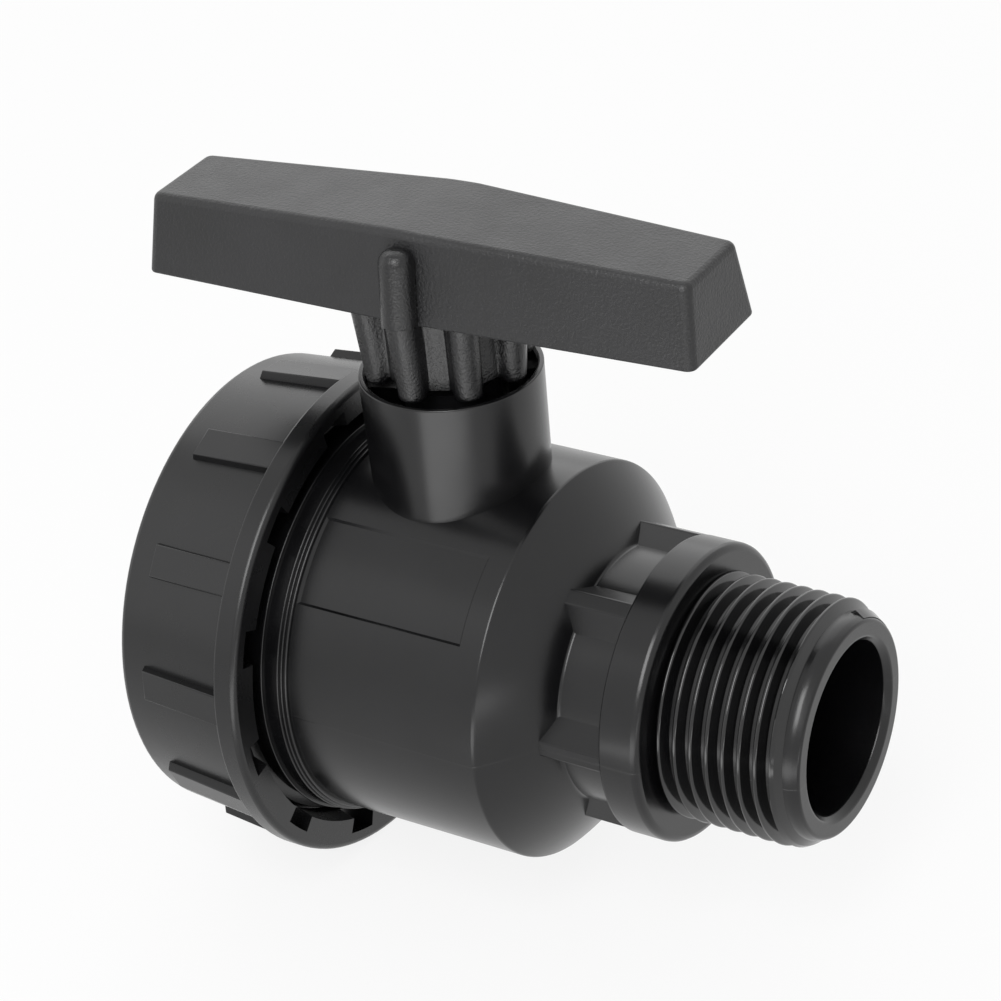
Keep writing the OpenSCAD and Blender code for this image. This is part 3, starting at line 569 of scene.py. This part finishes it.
def new_finish(name):
    """A material with its shader, and the Object coordinates that all patterns read."""
    made = bpy.data.materials.new(name)
    made.use_nodes = True
    tree = made.node_tree
    shader = tree.nodes["Principled BSDF"]
    place = Socket(tree, tree.nodes.new("ShaderNodeTexCoord").outputs["Object"])
    return made, shader, place


def noise(place, scale, detail=4.0, roughness=0.55):
    return place.add("ShaderNodeTexNoise", {}, {"Vector": place, "Scale": scale, "Detail": detail,
                                                "Roughness": roughness})


def feed(shader, name, value):
    value.tree.links.new(value.socket, shader.inputs[name])

# %% [markdown]
# ## Moulded black plastic
#
# The valve is moulded in black polypropylene. Its satin faces aren't flat black: the colour is
# clouded, the gloss changes slowly, and a fine skin from the mould breaks up the reflections.
# The parting line of the mould runs along the side of the barrel as a hair-thin ridge.

# %% The plastic of the body, nut and threads
def moulded(name, dark, light, gloss, gloss_change, skin, skin_scale, parting=0.0, shine=0.6):
    made, shader, place = new_finish(name)
    cloud = noise(place, 70, 5)
    colour = place.add("ShaderNodeMix", {"data_type": "RGBA"},
                       {"Factor": cloud.between(0.3, 0.7), "A": (*dark, 1), "B": (*light, 1)}, out=2)
    feed(shader, "Base Color", colour)
    streaks = noise(place, 160, 3)
    feed(shader, "Roughness", gloss + (streaks - 0.5) * gloss_change)
    height = noise(place, skin_scale, 3) * skin + noise(place, 140, 2) * min(skin * 2.5, 0.6)
    if parting:
        z = place.add("ShaderNodeSeparateXYZ", {}, {"Vector": place}, out=2)
        height = height + (1 - z.math("ABSOLUTE", z).between(0.00002, 0.00014)) * parting
    bump = place.add("ShaderNodeBump", {}, {"Strength": 1.0, "Distance": 0.00005, "Height": height})
    feed(shader, "Normal", bump)
    shader.inputs["Specular IOR Level"].default_value = shine
    return made


body_plastic = moulded("body_plastic", (0.0025, 0.0025, 0.0028), (0.0045, 0.0045, 0.005), 0.25, 0.08,
                       0.1, 2600, parting=0.35, shine=0.45)
nut_plastic = moulded("nut_plastic", (0.0025, 0.0025, 0.0028), (0.0045, 0.0045, 0.005), 0.28, 0.1,
                      0.12, 2600, shine=0.47)
thread_plastic = moulded("thread_plastic", (0.003, 0.003, 0.0032), (0.0045, 0.0045, 0.005), 0.13, 0.05,
                         0.04, 2600)
lever_plastic = moulded("lever_plastic", (0.006, 0.006, 0.0065), (0.01, 0.01, 0.011), 0.42, 0.14,
                        2.2, 2500, shine=0.52)
hub_plastic = moulded("hub_plastic", (0.003, 0.003, 0.0033), (0.007, 0.007, 0.0077), 0.27, 0.16,
                      2.0, 3000, shine=0.5)
stem_plastic = moulded("stem_plastic", (0.006, 0.006, 0.0065), (0.009, 0.009, 0.01), 0.3, 0.1, 0.1, 2600)
ball_plastic = moulded("ball_plastic", (0.012, 0.012, 0.013), (0.017, 0.017, 0.018), 0.12, 0.04, 0.02, 1800)

# %% [markdown]
# ## Seats and seals
#
# The seats and the slip washer are a white, waxy plastic with faint turning marks. The seal
# rings are soft black rubber with a dull bloom.

# %% The white seats and the rubber rings
seat_white, shader, place = new_finish("seat_white")
feed(shader, "Base Color", place.add(
    "ShaderNodeValToRGB", {"stops": [(0.3, (0.66, 0.65, 0.61)), (0.7, (0.74, 0.73, 0.7))]},
    {"Fac": noise(place, 120)}))
feed(shader, "Roughness", 0.42 + (noise(place, 300) - 0.5) * 0.15)
turning = place.add("ShaderNodeTexWave", {"wave_type": "RINGS", "rings_direction": "X"},
                    {"Vector": place, "Scale": 900.0, "Distortion": 0.4})
feed(shader, "Normal", place.add("ShaderNodeBump", {}, {"Strength": 0.3, "Distance": 0.00002,
                                                        "Height": turning}))
shader.inputs["Subsurface Weight"].default_value = 0.1
shader.inputs["Subsurface Scale"].default_value = 0.002

seal_rubber, shader, place = new_finish("seal_rubber")
feed(shader, "Base Color", place.add(
    "ShaderNodeValToRGB", {"stops": [(0.3, (0.011, 0.011, 0.011)), (0.75, (0.022, 0.022, 0.021))]},
    {"Fac": noise(place, 260)}))
feed(shader, "Roughness", 0.62 + (noise(place, 900) - 0.5) * 0.2)
feed(shader, "Normal", place.add("ShaderNodeBump", {}, {"Strength": 0.5, "Distance": 0.00002,
                                                        "Height": noise(place, 2500)}))

# %% [markdown]
# ## Dressing the pieces
#
# The new pieces take their finish from this table, and the CAD nodes that stay visible inside
# the valve take theirs the same way, through their material slots.

# %% Give every piece its finish
def dress(piece, finish):
    piece.data.materials.clear()
    piece.data.materials.append(finish)
    for face in piece.data.polygons:
        face.material_index = 0


FINISHES = {
    body_plastic: (barrel, stem_tower, neck_ribs, body_union_thread, connector_sleeve),
    nut_plastic: (nut_ring, nut_ribs, nut_thread),
    thread_plastic: (outlet_thread, inlet_thread),
    lever_plastic: (lever_bar,),
    hub_plastic: (lever_hub, grip_ribs),
}
for finish, dressed in FINISHES.items():
    for piece in dressed:
        dress(piece, finish)
NODE_FINISH = {
    stem_plastic: ("stem", "seat_carrier"),
    ball_plastic: ("ball",),
    seat_white: ("outlet_seat", "inlet_seat", "stem_washer"),
    seal_rubber: ("outlet_seat_ring", "inlet_seat_ring", "carrier_ring", "union_ring",
                  "stem_ring_lower", "stem_ring_upper"),
}
for finish, names in NODE_FINISH.items():
    for name in names:
        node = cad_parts[name]
        for slot in node.material_slots:
            slot.material = finish
print("finishes given:", ", ".join(f.name for f in [*FINISHES, *NODE_FINISH]))

# %% [markdown]
# ## Floor, light and camera
#
# The valve stands on a pale floor in soft studio light. The world is plain white to the camera
# and in reflections, and a weaker grey as a light. Broad lamps model the forms. The camera
# stands where the photographer's did, worked out from the edges of the real valve.

# %% Lay the floor and set the world
def mix_by_sight(tree, out, seen, lit):
    """Shows one shader to the camera and to reflections, and another to all other rays."""
    path = tree.nodes.new("ShaderNodeLightPath").outputs
    camera = Socket(tree, path["Is Camera Ray"])
    sight = camera.math("MAXIMUM", camera.math("MAXIMUM", camera, Socket(tree, path["Is Glossy Ray"])),
                        Socket(tree, path["Is Transmission Ray"]))
    mixed = camera.add("ShaderNodeMixShader", {}, {0: sight, 1: lit, 2: seen})
    tree.links.new(mixed.socket, out)


world = bpy.data.worlds.new("studio")
bpy.context.scene.world = world
world.use_nodes = True
tree = world.node_tree
tree.nodes.clear()
out = tree.nodes.new("ShaderNodeOutputWorld").inputs["Surface"]
root = Socket(tree, None)
mix_by_sight(tree, out,
             root.add("ShaderNodeBackground", {}, {"Color": (1, 1, 1, 1), "Strength": 1.0}),
             root.add("ShaderNodeBackground", {}, {"Color": (1, 1, 1, 1), "Strength": 0.5}))

FLOOR_Z = -0.03502
ground = bmesh.new()
bmesh.ops.create_grid(ground, x_segments=1, y_segments=1, size=3.0)
bmesh.ops.translate(ground, verts=ground.verts, vec=(0, 0, FLOOR_Z))
mesh = bpy.data.meshes.new("floor")
ground.to_mesh(mesh)
ground.free()
floor = bpy.data.objects.new("floor", mesh)
bpy.context.scene.collection.objects.link(floor)
pale = bpy.data.materials.new("pale_floor")
pale.use_nodes = True
tree = pale.node_tree
tree.nodes.clear()
out = tree.nodes.new("ShaderNodeOutputMaterial").inputs["Surface"]
root = Socket(tree, None)
matt = root.add("ShaderNodeBsdfDiffuse", {}, {"Color": (0.9, 0.9, 0.9, 1)})
glow = root.add("ShaderNodeEmission", {}, {"Color": (1, 1, 1, 1), "Strength": 1.0})
mix_by_sight(tree, out, root.add("ShaderNodeMixShader", {}, {0: 0.86, 1: matt, 2: glow}), matt)
floor.data.materials.append(pale)

# %% Hang the lamps
def lamp(name, place, aim, size, power):
    data = bpy.data.lights.new(name, "AREA")
    data.shape, data.size, data.size_y = "RECTANGLE", size[0], size[1]
    data.energy = power
    made = bpy.data.objects.new(name, data)
    made.location = place
    made.rotation_mode = "QUATERNION"
    made.rotation_quaternion = (Vector(aim) - Vector(place)).to_track_quat("-Z", "Y")
    made.visible_camera = False
    bpy.context.scene.collection.objects.link(made)


# Three boxes aim at the valve, and two small low lamps stand for light off a pale table.
LOW = -0.034
lamp("back_box", (-0.35, 0.6, 0.55), (0, 0, 0), (1.2, 0.9), 2.7)
lamp("left_fill", (-0.9, -0.55, 0.45), (0, 0, 0), (1.0, 1.0), 1.2)
lamp("near_box", (0.186, -0.61, 0.636), (0, 0, 0), (0.35, 0.6), 4.6)
lamp("front_table", (0.055, -0.19, LOW), (0.055, -0.19, 1.0), (0.15, 0.19), 0.22)
lamp("side_table", (0.258, -0.167, LOW), (0.258, -0.167, 1.0), (0.15, 0.12), 0.16)

# %% Set the camera where the photographer stood
AZ, EL, ROLL = (math.radians(v) for v in (34.70436, 30.57698, -6.05113))
DISTANCE, SHIFT_X, SHIFT_Y = 0.43218466, -0.00270874, -0.01815448
SENSOR, FRAME_PX, FOCAL_PX = 36.0, 1001, 3145.6122
back = Vector((math.sin(AZ) * math.cos(EL), -math.cos(AZ) * math.cos(EL), math.sin(EL)))
side = (-back).cross(Vector((0, 0, 1))).normalized()
rise = side.cross(-back)
right = side * math.cos(ROLL) + rise * math.sin(ROLL)
up = -side * math.sin(ROLL) + rise * math.cos(ROLL)
data = bpy.data.cameras.new("camera")
data.sensor_width = SENSOR
data.lens = FOCAL_PX / FRAME_PX * SENSOR
data.clip_start, data.clip_end = 0.05, 20.0
camera = bpy.data.objects.new("camera", data)
camera.rotation_mode = "QUATERNION"
camera.rotation_quaternion = Matrix((right, up, back)).transposed().to_quaternion()
camera.location = DISTANCE * back - SHIFT_X * right - SHIFT_Y * up
bpy.context.scene.collection.objects.link(camera)
bpy.context.scene.camera = camera
bpy.context.scene.view_settings.view_transform = "Standard"
print("camera at", [round(v, 4) for v in camera.location])
